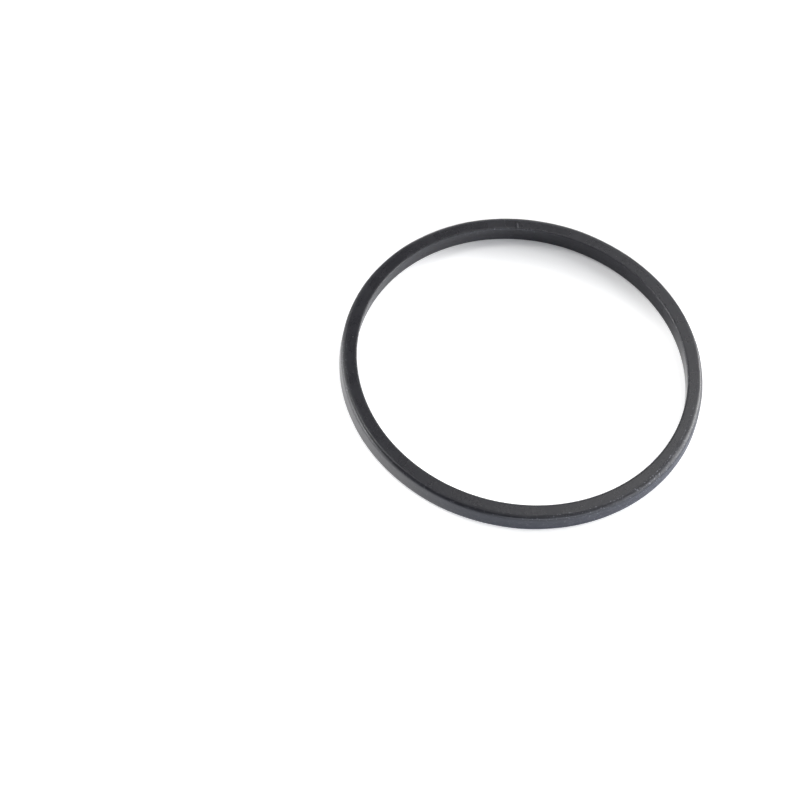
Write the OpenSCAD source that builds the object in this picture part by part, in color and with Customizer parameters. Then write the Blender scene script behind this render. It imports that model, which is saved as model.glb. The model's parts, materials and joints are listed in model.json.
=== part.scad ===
// Bearing seal: one moulded rubber ring of upright section, with well rounded outer edges.
// It lies flat with its lower face on Z = 0 and its axis along +Z through the origin.

/* [Ring] */
// Diameter of the bore, with the rubber relaxed
bore_d = 45.7; // [20:0.1:90]
// Thickness of the wall, from the bore to the outside
wall = 2.15; // [1.2:0.05:6]
// Height of the ring, from face to face
height = 2.75; // [2:0.05:10]

/* [Edges] */
// Radius of the two edges round the bore
bore_edge_r = 0.2; // [0.05:0.05:0.5]
// Radius of the two edges round the outside
rim_edge_r = 0.55; // [0.05:0.05:0.6]

/* [Hidden] */
bore_r = bore_d / 2;
rim_r = bore_r + wall;
ring_faces = 240;
edge_faces = 48;

// The disc that rounds one corner of the section
module corner(x, z, r) {
    translate([x, z])
        circle(r = r, $fn = edge_faces);
}

// Section of the ring in the plane of its axis: the four round corners,
// joined by two upright strips and the full-height middle
module seal_section() {
    corner(bore_r + bore_edge_r, bore_edge_r, bore_edge_r);
    corner(bore_r + bore_edge_r, height - bore_edge_r, bore_edge_r);
    corner(rim_r - rim_edge_r, rim_edge_r, rim_edge_r);
    corner(rim_r - rim_edge_r, height - rim_edge_r, rim_edge_r);
    translate([bore_r, bore_edge_r])
        square([wall / 2, height - 2 * bore_edge_r]);
    translate([bore_r + wall / 2, rim_edge_r])
        square([wall / 2, height - 2 * rim_edge_r]);
    translate([bore_r + bore_edge_r, 0])
        square([wall - bore_edge_r - rim_edge_r, height]);
}

module seal_ring() {
    color("#2b2b2d")
        rotate_extrude($fn = ring_faces)
            seal_section();
}

seal_ring();
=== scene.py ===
"""A satin black rubber bearing seal, lying flat on a pale floor.

The frame gives the ring's diameters and height. Everything is in metres, with Z up and the floor at Z = 0.
"""

import json
import math
import random

import bpy
from mathutils import Matrix, Vector, noise


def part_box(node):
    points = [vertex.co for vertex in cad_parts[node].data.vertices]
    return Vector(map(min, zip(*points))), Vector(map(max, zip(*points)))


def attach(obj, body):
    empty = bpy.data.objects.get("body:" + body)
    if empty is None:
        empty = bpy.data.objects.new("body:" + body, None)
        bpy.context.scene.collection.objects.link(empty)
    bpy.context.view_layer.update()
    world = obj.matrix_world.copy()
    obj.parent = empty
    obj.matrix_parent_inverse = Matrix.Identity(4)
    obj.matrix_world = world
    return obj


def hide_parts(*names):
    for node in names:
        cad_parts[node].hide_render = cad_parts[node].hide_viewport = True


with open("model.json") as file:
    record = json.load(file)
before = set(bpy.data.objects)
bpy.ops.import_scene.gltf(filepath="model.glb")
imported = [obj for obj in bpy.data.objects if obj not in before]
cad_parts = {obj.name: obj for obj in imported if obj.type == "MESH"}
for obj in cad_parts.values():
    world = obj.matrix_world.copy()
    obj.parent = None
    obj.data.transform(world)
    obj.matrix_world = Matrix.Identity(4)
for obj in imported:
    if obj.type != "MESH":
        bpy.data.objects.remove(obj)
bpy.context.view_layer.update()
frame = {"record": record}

MM = 0.001
WHITE = (1, 1, 1)
SEED = 5

# Sizes that the frame gives
RIM_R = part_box("seal_ring")[1].x
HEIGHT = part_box("seal_ring")[1].z
BORE_R = next(m for m in frame["record"]["mounts"] if m["name"] == "bore")["dims"]["r_mm"] * MM
MIDDLE_R = (BORE_R + RIM_R) / 2

# Radii of the section's round edges
BORE_EDGE_R = 0.20 * MM
RIM_EDGE_R = 0.55 * MM
# The outer edges' radius wanders by about this share of itself round the ring, as moulded rubber's does
RIM_EDGE_WANDER = 0.07
WANDER_WAVES = 6
WANDER_SEED = 3.7
# On the right the upper outer edge is worn rounder: by what share of its radius, where, and how far each way
ROUNDER_BY = 0.7
ROUNDER_AZIMUTH = math.radians(350)
ROUNDER_HALF = math.radians(22)
# The soft section leans: its foot stands this much further out than its top
LEAN = 0.233 * MM

# Ridges and nicks die away from their middle, and end at this many half widths
REACH = 3

# The knit line, where the rubber met in the mould: a fine low ridge, a little pale,
# across the inner part of the upper face and down the top of the bore
KNIT_AZIMUTH = math.radians(103.2)
KNIT_WIDTH = 0.22 * MM
KNIT_HEIGHT = 0.04 * MM
KNIT_OUTER_R = BORE_R + 1.15 * MM
KNIT_LOWER_Z = HEIGHT - 0.65 * MM
KNIT_WEAR = 0.5

# Small nicks that the photograph shows on the upper edges: edge, azimuth in degrees, half length, depth
SEEN_NICKS = [
    ("bore", 33, 0.25 * MM, 0.03 * MM),
    ("bore", 40, 0.20 * MM, 0.03 * MM),
    ("bore", 110, 1.10 * MM, 0.02 * MM),
    ("rim", 316, 0.50 * MM, 0.010 * MM),
    ("rim", 321, 0.35 * MM, 0.010 * MM),
    ("rim", 327, 0.60 * MM, 0.012 * MM),
]
# Finer ones that any such ring carries
FINE_NICKS = 60
FINE_NICK_EDGES = ("bore", "rim", "rim", "rim foot")
FINE_NICK_LENGTH = (0.10 * MM, 0.40 * MM)
FINE_NICK_DEPTH = (0.004 * MM, 0.012 * MM)

# The worn places of each side, as azimuth and half width in degrees and how worn, and the wear elsewhere
WORN_PLACES = {
    # On the rim the pale wear at 205 degrees is partly painted highlight: it also stands in for a highlight
    # on the wall there
    "rim": [(325, 35, 1.0), (205, 22, 0.6)],
    "bore": [(110, 14, 0.6), (15, 18, 0.8), (310, 55, 0.5)],
}
LEAST_WORN = 0.2
# What share of that wear each stretch of the section takes
WORN_SHARE = {"bore": 1.0, "bore wall": 0.35, "rim": 1.0, "rim wall": 0.7, "rim foot": 0.5}

# Steps of the mesh round the ring and along each stretch of its section
RING_STEPS = 1800
BORE_EDGE_STEPS = 5
RIM_EDGE_STEPS = 12
UPPER_FACE_STEPS = 7
LOWER_FACE_STEPS = 2
BORE_WALL_STEPS = 5
RIM_WALL_STEPS = 4

# Dust grains on the upper face: azimuth in degrees, radius, size
DUST = [
    (187, BORE_R + 0.62 * MM, 0.16 * MM),
    (66, BORE_R + 0.55 * MM, 0.12 * MM),
    (300, BORE_R + 0.90 * MM, 0.10 * MM),
    (141, BORE_R + 1.00 * MM, 0.09 * MM),
    (12, BORE_R + 0.60 * MM, 0.10 * MM),
]
# Each has this many corners, which lie between these shares of half its size from its middle
DUST_CORNERS = 9
DUST_REACH = (0.6, 1.1)
# Its width and its height as shares of its length, and how high its edge lies over the face
DUST_WIDTH = 0.7
DUST_HEIGHT = 0.25
DUST_EDGE_Z = 0.002 * MM

# The rubber's patterns: about how many features a metre holds, and how many finer layers lie on them
MOTTLE = (450, 4)
MARKS = (4000, 3)
SKIN = (2200, 2)
GRAIN = (8000, 2)
FLECKS_AND_GLINTS = (4500, 2)
# The marks are stretched along the ring, where a metre holds this share of them
MARKS_ALONG = 0.12
# How the patterns and the wear show: the range of their value that counts, and what its two ends become
SCUFF_AND_SHEEN = (0.40, 0.70, 0.02, 0.26)
STREAK = (0.45, 0.70, 0, 0.04)
SPECK_AND_GLINT = (0.61, 0.71, 0, 1)
ROUGHNESS = (0.3, 0.7, 0.25, 0.30)
WORN_ROUGHNESS = (0, 1, 0, 0.25)
# How high the patterns stand
SKIN_RELIEF = 0.012 * MM
MARKS_RELIEF = 0.0025 * MM
GRAIN_RELIEF = 0.003 * MM
# Colours of the rubber, of its scuffs (partly painted highlight) and of its pale specks (partly painted
# glints)
RUBBER_DARK = (0.0070, 0.0070, 0.0100)
RUBBER_LIGHT = (0.0145, 0.0145, 0.0195)
SCUFF_AND_SHEEN_COLOUR = (0.16, 0.165, 0.18)
SPECK_AND_GLINT_COLOUR = (0.25, 0.26, 0.29)

# The dust's pattern, colours, roughness and relief
FIBRE = (20000, 2)
DUST_DARK = (0.10, 0.10, 0.10)
DUST_LIGHT = (0.22, 0.21, 0.20)
DUST_ROUGHNESS = (0.3, 0.7, 0.8, 0.95)
DUST_RELIEF = 0.01 * MM

# The photograph's frame and the lens that fits it, in pixels
IMAGE_SIDE = 800
FOCAL_PIXELS = 1744
TOP_CENTRE_PIXEL = (523.09, 359.62)
# Where the camera stands, measured from the middle of the ring's upper face
CAMERA_DISTANCE = 239.24 * MM
CAMERA_ELEVATION = math.radians(54.73)
CAMERA_ROLL = math.radians(13.41)
SENSOR = 36.0

# Half the floor's side, and the share of the light that it reflects
FLOOR_HALF = 2.0
FLOOR_WHITE = 0.95
# Painted light: its paint glows, more towards the front, as a pale room's light would, where the glow pales
# the ring's shadow for the camera and brightens the floor that the walls mirror: the radiance behind, what
# comes on top in front, which way front is from +X, and where the step starts and ends that way.
# The camera sees one lift, and what mirrors the floor sees the other.
SEEN_LIFT = {
    "behind": 0.03, "in_front": 0.42, "turn": math.radians(-91), "start": -20.7 * MM, "end": -10.7 * MM,
}
MIRRORED_LIFT = {
    "behind": 0.0, "in_front": 1.0, "turn": math.radians(-79), "start": -11.8 * MM, "end": 3.1 * MM,
}
# Painted reflection: to the right of the ring the glow that the walls mirror is dimmer and cooler: its tint,
# and the step to it
COOL_TINT = (0.16, 0.21, 0.35)
COOL_STEP = {"turn": math.radians(-50), "start": 8 * MM, "end": 24 * MM}
# Painted shade, as in the shadow there, in what mirrors the floor inside the far right of the bore: by what
# share, and the step to it
PAINTED_SHADE_BY = 0.38
PAINTED_SHADE_STEP = {"turn": math.radians(68), "start": 14 * MM, "end": 21 * MM}

# The plain level of light that the room gives
ROOM_LEVEL = 0.12
# How far the lamps stand from the ring, and the colour of a slightly blue one
LAMP_DISTANCE = 1.0
COOL = (0.94, 0.985, 1.08)
# The lamps: name, azimuth from +Y towards +X and elevation in degrees, sides, radiance and colour
LAMPS = [
    ("back", 22, 59, (0.43, 0.29), 2.66, WHITE),
    ("back low", 49, 39, (2.58, 0.37), 1.71, WHITE),
    ("right", 64, 12, (0.95, 0.40), 11.00, WHITE),
    ("left back", -13, 20, (0.60, 0.42), 1.60, WHITE),
    ("left middle", -52, 31, (0.30, 0.38), 2.40, WHITE),
    ("right front", 127, 13, (2.04, 0.44), 3.36, COOL),
    ("left", -92, 10, (0.86, 0.24), 13.80, WHITE),
    ("left high", -75, 56, (0.25, 0.33), 7.86, WHITE),
    ("overhead", -147, 86, (1.23, 0.40), 0.97, WHITE),
]


def arc(name, centre_r, centre_z, radius, start_deg, end_deg, steps):
    """Points (r, z, name, share, normal) of an arc in the section's plane, without its last one.

    The share runs from 0 at the arc's ends to 1 in its middle.
    """
    points = []
    for i in range(steps):
        t = i / steps
        a = math.radians(start_deg + (end_deg - start_deg) * t)
        normal = Vector((math.cos(a), math.sin(a)))
        place = Vector((centre_r, centre_z)) + radius * normal
        points.append((place.x, place.y, name, math.sin(math.pi * t), normal))
    return points


def straight(name, start, end, steps):
    """Such points of a straight stretch, without its last one. Their share is 0."""
    along = Vector(end) - Vector(start)
    normal = Vector((-along.y, along.x)).normalized()
    points = []
    for i in range(steps):
        place = Vector(start) + along * (i / steps)
        points.append((place.x, place.y, name, 0, normal))
    return points


def section(rim_edge_r, foot_edge_r):
    """The closed outline of the section, from the foot of the bore round to the lower face."""
    bore_edge_at = BORE_R + BORE_EDGE_R
    rim_edge_at = RIM_R - rim_edge_r
    foot_edge_at = RIM_R - foot_edge_r
    bore_top = HEIGHT - BORE_EDGE_R
    rim_top = HEIGHT - rim_edge_r
    points = arc("bore foot", bore_edge_at, BORE_EDGE_R, BORE_EDGE_R, 270, 180, BORE_EDGE_STEPS)
    points += straight("bore wall", (BORE_R, BORE_EDGE_R), (BORE_R, bore_top), BORE_WALL_STEPS)
    points += arc("bore", bore_edge_at, bore_top, BORE_EDGE_R, 180, 90, BORE_EDGE_STEPS)
    points += straight("upper face", (bore_edge_at, HEIGHT), (rim_edge_at, HEIGHT), UPPER_FACE_STEPS)
    points += arc("rim", rim_edge_at, rim_top, rim_edge_r, 90, 0, RIM_EDGE_STEPS)
    points += straight("rim wall", (RIM_R, rim_top), (RIM_R, foot_edge_r), RIM_WALL_STEPS)
    points += arc("rim foot", foot_edge_at, foot_edge_r, foot_edge_r, 0, -90, RIM_EDGE_STEPS)
    points += straight("lower face", (foot_edge_at, 0), (bore_edge_at, 0), LOWER_FACE_STEPS)
    return points


def wander(azimuth, waves, seed):
    """A smooth value between about -1 and 1 that closes on itself round the ring."""
    return noise.noise(Vector((waves * math.cos(azimuth), waves * math.sin(azimuth), seed))) * 2


def turn_between(a, b):
    """The shorter way round from azimuth b to azimuth a."""
    return (a - b + math.pi) % (2 * math.pi) - math.pi


def outline_at(azimuth):
    """The section at this azimuth, with its wandering and worn outer edges."""
    uneven = 1 + RIM_EDGE_WANDER * wander(azimuth, WANDER_WAVES, WANDER_SEED)
    away = turn_between(azimuth, ROUNDER_AZIMUTH) / ROUNDER_HALF
    rounder = ROUNDER_BY * math.exp(-away ** 2)
    return section(RIM_EDGE_R * (uneven + rounder), RIM_EDGE_R * uneven)


def knit_share(azimuth, r, z):
    """How high the knit line stands here, from 0 to 1."""
    across = turn_between(azimuth, KNIT_AZIMUTH) * r / (KNIT_WIDTH / 2)
    if abs(across) > REACH or r > KNIT_OUTER_R or z < KNIT_LOWER_Z:
        return 0
    return math.exp(-across * across)


def wear(azimuth, side):
    """How worn a side is at this azimuth, from 0 to 1."""
    worn = LEAST_WORN
    for middle, half, most in WORN_PLACES[side]:
        away = turn_between(azimuth, math.radians(middle)) / math.radians(half)
        worn = max(worn, most * math.exp(-away * away))
    return worn


def all_nicks():
    """The nicks that the photograph shows and the finer ones, as (edge, azimuth, half length, depth)."""
    nicks = [(edge, math.radians(degrees), half, depth) for edge, degrees, half, depth in SEEN_NICKS]
    for i in range(FINE_NICKS):
        edge = random.choice(FINE_NICK_EDGES)
        azimuth = random.uniform(0, 2 * math.pi)
        nicks.append((edge, azimuth, random.uniform(*FINE_NICK_LENGTH), random.uniform(*FINE_NICK_DEPTH)))
    return nicks


def nick_depths(azimuth, nicks):
    """How deep each edge is nicked at this azimuth."""
    depths = {}
    for edge, middle, half, depth in nicks:
        along = turn_between(azimuth, middle) * RIM_R / half
        if abs(along) < REACH:
            depths[edge] = depths.get(edge, 0) + depth * math.exp(-along * along)
    return depths


def add_object(name, data):
    """Puts new object data into the scene."""
    thing = bpy.data.objects.new(name, data)
    bpy.context.scene.collection.objects.link(thing)
    return thing


def new_mesh(name, vertices, faces):
    """A mesh of the given points and faces."""
    mesh = bpy.data.meshes.new(name)
    mesh.from_pydata(vertices, [], faces)
    mesh.update()
    return mesh


def build_ring():
    """Sweeps the section round the axis into one closed mesh.

    Its attribute "sweep" holds the place round the ring and along the section, "worn" says how worn the
    rubber is, and "upright" marks the two walls.
    """
    nicks = all_nicks()
    vertices = []
    sweep = []
    worn = []
    upright = []
    for step in range(RING_STEPS):
        a = 2 * math.pi * step / RING_STEPS
        outline = outline_at(a)
        depths = nick_depths(a, nicks)
        side_wear = {side: wear(a, side) for side in WORN_PLACES}
        travelled = 0
        before = outline[0]
        for point in outline:
            r, z, name, share, normal = point
            travelled += math.hypot(r - before[0], z - before[1])
            before = point
            knit = knit_share(a, r, z)
            rise = knit * KNIT_HEIGHT - depths.get(name, 0) * share
            r_here = r + rise * normal.x + LEAN * (0.5 - z / HEIGHT)
            z_here = z + rise * normal.y
            vertices.append((r_here * math.cos(a), r_here * math.sin(a), z_here))
            sweep.extend((RIM_R * math.cos(a), RIM_R * math.sin(a), travelled))
            # A wall takes all the wear of its stretch, and so does the first point of a round edge.
            # The edge's other points take it by their share.
            side = "rim" if r > MIDDLE_R else "bore"
            worn_here = side_wear[side] * WORN_SHARE.get(name, 0) * (share or 1)
            worn.append(max(KNIT_WEAR * knit, worn_here))
            upright.append(1 if "wall" in name else 0)
    count = len(outline)
    faces = []
    for step in range(RING_STEPS):
        here = step * count
        there = (step + 1) % RING_STEPS * count
        for i in range(count):
            j = (i + 1) % count
            faces.append((here + i, here + j, there + j, there + i))
    mesh = new_mesh("rubber_ring", vertices, faces)
    mesh.attributes.new("sweep", "FLOAT_VECTOR", "POINT").data.foreach_set("vector", sweep)
    mesh.attributes.new("worn", "FLOAT", "POINT").data.foreach_set("value", worn)
    mesh.attributes.new("upright", "FLOAT", "POINT").data.foreach_set("value", upright)
    mesh.polygons.foreach_set("use_smooth", [True] * len(faces))
    mesh.update()
    return add_object("rubber_ring", mesh)


def build_dust():
    """Flat jagged grains that lie on the upper face."""
    vertices = []
    faces = []
    for degrees, r, size in DUST:
        a = math.radians(degrees)
        middle = Vector((r * math.cos(a), r * math.sin(a), HEIGHT))
        first = len(vertices)
        for k in range(DUST_CORNERS):
            turn = 2 * math.pi * k / DUST_CORNERS
            reach = size / 2 * random.uniform(*DUST_REACH)
            across = reach * math.sin(turn) * DUST_WIDTH
            vertices.append(middle + Vector((reach * math.cos(turn), across, DUST_EDGE_Z)))
        vertices.append(middle + Vector((0, 0, size * DUST_HEIGHT)))
        for k in range(DUST_CORNERS):
            faces.append((first + k, first + (k + 1) % DUST_CORNERS, first + DUST_CORNERS))
    return add_object("dust_grains", new_mesh("dust_grains", vertices, faces))


def add_noise(nodes, links, vector, scale, detail):
    """A noise texture over the given vector; its features are about 1 / scale metres wide."""
    texture = nodes.new("ShaderNodeTexNoise")
    texture.inputs["Scale"].default_value = scale
    texture.inputs["Detail"].default_value = detail
    links.new(vector, texture.inputs["Vector"])
    return texture.outputs["Fac"]


def add_range(nodes, links, value, low, high, to_low, to_high):
    """Maps a value from one range to another, and keeps it there."""
    spread = nodes.new("ShaderNodeMapRange")
    spread.inputs["From Min"].default_value = low
    spread.inputs["From Max"].default_value = high
    spread.inputs["To Min"].default_value = to_low
    spread.inputs["To Max"].default_value = to_high
    links.new(value, spread.inputs["Value"])
    return spread.outputs["Result"]


def add_math(nodes, links, operation, first, second):
    """One sum or product of two linked values."""
    maths = nodes.new("ShaderNodeMath")
    maths.operation = operation
    links.new(first, maths.inputs[0])
    links.new(second, maths.inputs[1])
    return maths.outputs["Value"]


def add_mix(nodes, links, factor, first, second):
    """A colour between two fixed ones."""
    mix = nodes.new("ShaderNodeMix")
    mix.data_type = "RGBA"
    mix.inputs["A"].default_value = (*first, 1)
    mix.inputs["B"].default_value = (*second, 1)
    links.new(factor, mix.inputs["Factor"])
    return mix.outputs["Result"]


def add_layer(nodes, links, factor, under, colour):
    """A fixed colour laid over a linked one."""
    mix = nodes.new("ShaderNodeMix")
    mix.data_type = "RGBA"
    mix.inputs["B"].default_value = (*colour, 1)
    links.new(under, mix.inputs["A"])
    links.new(factor, mix.inputs["Factor"])
    return mix.outputs["Result"]


def add_bump(nodes, links, height, distance, normal=None):
    """Relief of the given height over what the normal already carries."""
    bump = nodes.new("ShaderNodeBump")
    bump.inputs["Strength"].default_value = 1.0
    bump.inputs["Distance"].default_value = distance
    links.new(height, bump.inputs["Height"])
    if normal is not None:
        links.new(normal, bump.inputs["Normal"])
    return bump.outputs["Normal"]


def add_attribute(nodes, name):
    """What the mesh holds under this name."""
    attribute = nodes.new("ShaderNodeAttribute")
    attribute.attribute_name = name
    return attribute


def add_colours(nodes, links, operation, first, second):
    """The sum or product of two linked colours."""
    result = nodes.new("ShaderNodeVectorMath")
    result.operation = operation
    links.new(first, result.inputs[0])
    links.new(second, result.inputs[1])
    return result.outputs["Vector"]


def add_scaled(nodes, links, colour, factor):
    """A linked colour times a linked value."""
    product = nodes.new("ShaderNodeVectorMath")
    product.operation = "SCALE"
    links.new(colour, product.inputs[0])
    links.new(factor, product.inputs["Scale"])
    return product.outputs["Vector"]


def add_step(nodes, links, place, turn, start, end):
    """A value that rises smoothly from 0 to 1 between two distances along a direction turned from +X."""
    along = nodes.new("ShaderNodeVectorMath")
    along.operation = "DOT_PRODUCT"
    along.inputs[1].default_value = (math.cos(turn), math.sin(turn), 0)
    links.new(place, along.inputs[0])
    step = nodes.new("ShaderNodeMapRange")
    step.interpolation_type = "SMOOTHSTEP"
    step.inputs["From Min"].default_value = start
    step.inputs["From Max"].default_value = end
    links.new(along.outputs["Value"], step.inputs["Value"])
    return step.outputs["Result"]


def add_lift(nodes, links, place, behind, in_front, turn, start, end):
    """The painted glow that lifts the floor: one level behind, and more in front."""
    step = add_step(nodes, links, place, turn, start, end)
    return add_mix(nodes, links, step, (behind,) * 3, (behind + in_front,) * 3)


def add_outside(nodes, links, place):
    """A value that rises from 0 to 1 between the bore and the rim."""
    from_axis = nodes.new("ShaderNodeVectorMath")
    from_axis.operation = "LENGTH"
    links.new(place, from_axis.inputs[0])
    return add_range(nodes, links, from_axis.outputs["Value"], BORE_R, RIM_R, 0, 1)


def new_material(name):
    """A material, its nodes and links, and the place on the object."""
    material = bpy.data.materials.new(name)
    material.use_nodes = True
    nodes = material.node_tree.nodes
    place = nodes.new("ShaderNodeTexCoord").outputs["Object"]
    return material, nodes, material.node_tree.links, place


def rubber():
    """Satin black moulded rubber: mottled and finely grained, with marks that run round the ring.

    It is paler and duller where it is worn. On the left of the rim the paleness is partly painted highlight,
    and on its right the pale flecks are partly painted glints.
    """
    material, nodes, links, place = new_material("satin_black_rubber")
    shader = nodes["Principled BSDF"]

    stretch = nodes.new("ShaderNodeMapping")
    stretch.inputs["Scale"].default_value = (MARKS_ALONG, MARKS_ALONG, 1)
    links.new(add_attribute(nodes, "sweep").outputs["Vector"], stretch.inputs["Vector"])
    worn = add_attribute(nodes, "worn").outputs["Fac"]
    upright = add_attribute(nodes, "upright").outputs["Fac"]

    mottle = add_noise(nodes, links, place, *MOTTLE)
    marks = add_noise(nodes, links, stretch.outputs["Vector"], *MARKS)
    skin = add_noise(nodes, links, place, *SKIN)
    grain = add_noise(nodes, links, place, *GRAIN)
    flecks_and_glints = add_noise(nodes, links, place, *FLECKS_AND_GLINTS)

    # Partly painted highlight: the scuffs' paleness on the worn left of the rim also stands in for a
    # highlight there
    scuff_and_sheen = add_math(nodes, links, "MULTIPLY", add_range(nodes, links, marks, *SCUFF_AND_SHEEN), worn)
    streak = add_math(nodes, links, "MULTIPLY", add_range(nodes, links, marks, *STREAK), upright)
    # Partly painted glints: pale flecks where the rubber is worn, which on the worn right of the rim also
    # stand in for glints of small burrs
    speck_and_glint = add_math(nodes, links, "MULTIPLY", add_range(nodes, links, flecks_and_glints, *SPECK_AND_GLINT), worn)
    pale = add_math(nodes, links, "ADD", scuff_and_sheen, streak)
    colour = add_mix(nodes, links, mottle, RUBBER_DARK, RUBBER_LIGHT)
    colour = add_layer(nodes, links, pale, colour, SCUFF_AND_SHEEN_COLOUR)
    colour = add_layer(nodes, links, speck_and_glint, colour, SPECK_AND_GLINT_COLOUR)
    links.new(colour, shader.inputs["Base Color"])

    even_rough = add_range(nodes, links, mottle, *ROUGHNESS)
    worn_rough = add_range(nodes, links, worn, *WORN_ROUGHNESS)
    links.new(add_math(nodes, links, "ADD", even_rough, worn_rough), shader.inputs["Roughness"])

    normal = add_bump(nodes, links, skin, SKIN_RELIEF)
    normal = add_bump(nodes, links, marks, MARKS_RELIEF, normal)
    normal = add_bump(nodes, links, grain, GRAIN_RELIEF, normal)
    links.new(normal, shader.inputs["Normal"])
    return material


def pale_dust():
    """Pale matt dust."""
    material, nodes, links, place = new_material("pale_dust")
    shader = nodes["Principled BSDF"]
    fibre = add_noise(nodes, links, place, *FIBRE)
    links.new(add_mix(nodes, links, fibre, DUST_DARK, DUST_LIGHT), shader.inputs["Base Color"])
    links.new(add_range(nodes, links, fibre, *DUST_ROUGHNESS), shader.inputs["Roughness"])
    links.new(add_bump(nodes, links, fibre, DUST_RELIEF), shader.inputs["Normal"])
    return material


def floor_paint():
    """Pale paint that takes a shadow, lifted to white for the camera and for what mirrors it by a painted
    glow.
    """
    material, nodes, links, place = new_material("pale_floor")
    material.cycles.emission_sampling = "NONE"
    nodes.remove(nodes["Principled BSDF"])
    path = nodes.new("ShaderNodeLightPath")

    paint = nodes.new("ShaderNodeBsdfDiffuse")
    # Painted shade: what mirrors the floor inside the far right of the bore sees its paint darker
    far_right = add_step(nodes, links, place, **PAINTED_SHADE_STEP)
    darker = add_math(nodes, links, "MULTIPLY", far_right, path.outputs["Is Glossy Ray"])
    dark = FLOOR_WHITE * (1 - PAINTED_SHADE_BY)
    links.new(add_mix(nodes, links, darker, (FLOOR_WHITE,) * 3, (dark,) * 3), paint.inputs["Color"])

    # Painted reflection: the glow that the walls mirror is dimmer and cooler to the right of the ring
    cooler = add_step(nodes, links, place, **COOL_STEP)
    cooler = add_math(nodes, links, "MULTIPLY", cooler, add_outside(nodes, links, place))
    tint = add_mix(nodes, links, cooler, WHITE, COOL_TINT)
    # Painted light: the floor's glow, one for the camera and one for what mirrors the floor
    seen = add_lift(nodes, links, place, **SEEN_LIFT)
    mirrored = add_lift(nodes, links, place, **MIRRORED_LIFT)
    mirrored = add_colours(nodes, links, "MULTIPLY", mirrored, tint)
    for_camera = add_scaled(nodes, links, seen, path.outputs["Is Camera Ray"])
    for_mirror = add_scaled(nodes, links, mirrored, path.outputs["Is Glossy Ray"])
    lift = nodes.new("ShaderNodeEmission")
    links.new(add_colours(nodes, links, "ADD", for_camera, for_mirror), lift.inputs["Color"])

    both = nodes.new("ShaderNodeAddShader")
    links.new(paint.outputs["BSDF"], both.inputs[0])
    links.new(lift.outputs["Emission"], both.inputs[1])
    links.new(both.outputs["Shader"], nodes["Material Output"].inputs["Surface"])
    return material


def build_floor():
    """A large plain floor at Z = 0."""
    h = FLOOR_HALF
    mesh = new_mesh("floor", [(-h, -h, 0), (h, -h, 0), (h, h, 0), (-h, h, 0)], [(0, 1, 2, 3)])
    floor = add_object("floor", mesh)
    floor.data.materials.append(floor_paint())


def area_light(name, azimuth_deg, elevation_deg, size, radiance, colour):
    """A soft rectangular lamp that faces the ring, with a face of the given radiance."""
    azimuth = math.radians(azimuth_deg)
    elevation = math.radians(elevation_deg)
    towards = Vector((
        math.sin(azimuth) * math.cos(elevation),
        math.cos(azimuth) * math.cos(elevation),
        math.sin(elevation),
    ))
    data = bpy.data.lights.new(name, "AREA")
    data.shape = "RECTANGLE"
    data.size, data.size_y = size
    data.energy = radiance * math.pi * size[0] * size[1]
    data.color = colour
    lamp = add_object(name, data)
    lamp.location = towards * LAMP_DISTANCE
    lamp.rotation_euler = towards.to_track_quat("Z", "Y").to_euler()
    lamp.visible_camera = False


def studio_world(level):
    """An even pale room: white to the camera, and a plain level of light for everything else."""
    world = bpy.data.worlds.new("studio")
    world.use_nodes = True
    nodes = world.node_tree.nodes
    links = world.node_tree.links
    room = nodes["Background"]
    room.inputs["Color"].default_value = (*WHITE, 1)
    room.inputs["Strength"].default_value = level
    seen = nodes.new("ShaderNodeBackground")
    seen.inputs["Color"].default_value = (*WHITE, 1)
    seen.inputs["Strength"].default_value = 1.0
    path = nodes.new("ShaderNodeLightPath")
    mix = nodes.new("ShaderNodeMixShader")
    links.new(path.outputs["Is Camera Ray"], mix.inputs["Fac"])
    links.new(room.outputs["Background"], mix.inputs[1])
    links.new(seen.outputs["Background"], mix.inputs[2])
    links.new(mix.outputs["Shader"], nodes["World Output"].inputs["Surface"])
    bpy.context.scene.world = world


def place_camera():
    """The photograph's camera, which sees the middle of the ring's upper face at TOP_CENTRE_PIXEL."""
    data = bpy.data.cameras.new("camera")
    data.sensor_width = SENSOR
    data.lens = FOCAL_PIXELS / IMAGE_SIDE * SENSOR
    data.clip_start = 0.01
    data.clip_end = 20
    camera = add_object("camera", data)
    target = Vector((0, 0, HEIGHT))
    back = Vector((0, -math.cos(CAMERA_ELEVATION), math.sin(CAMERA_ELEVATION)))
    level = (-back).to_track_quat("-Z", "Y").to_matrix().to_4x4()
    roll = Matrix.Rotation(CAMERA_ROLL, 4, "Z")
    middle = IMAGE_SIDE / 2
    seen = Vector((TOP_CENTRE_PIXEL[0] - middle, middle - TOP_CENTRE_PIXEL[1], -FOCAL_PIXELS))
    aim = seen.rotation_difference(Vector((0, 0, -1))).to_matrix().to_4x4()
    camera.matrix_world = Matrix.Translation(target + back * CAMERA_DISTANCE) @ level @ roll @ aim
    bpy.context.scene.camera = camera


place_camera()
build_floor()
studio_world(ROOM_LEVEL)
for lamp_row in LAMPS:
    area_light(*lamp_row)

random.seed(SEED)
ring = build_ring()
ring.data.materials.append(rubber())
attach(ring, "root")
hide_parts("seal_ring")

dust = build_dust()
dust.data.materials.append(pale_dust())
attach(dust, "root")

bpy.context.scene.view_settings.view_transform = "Standard"
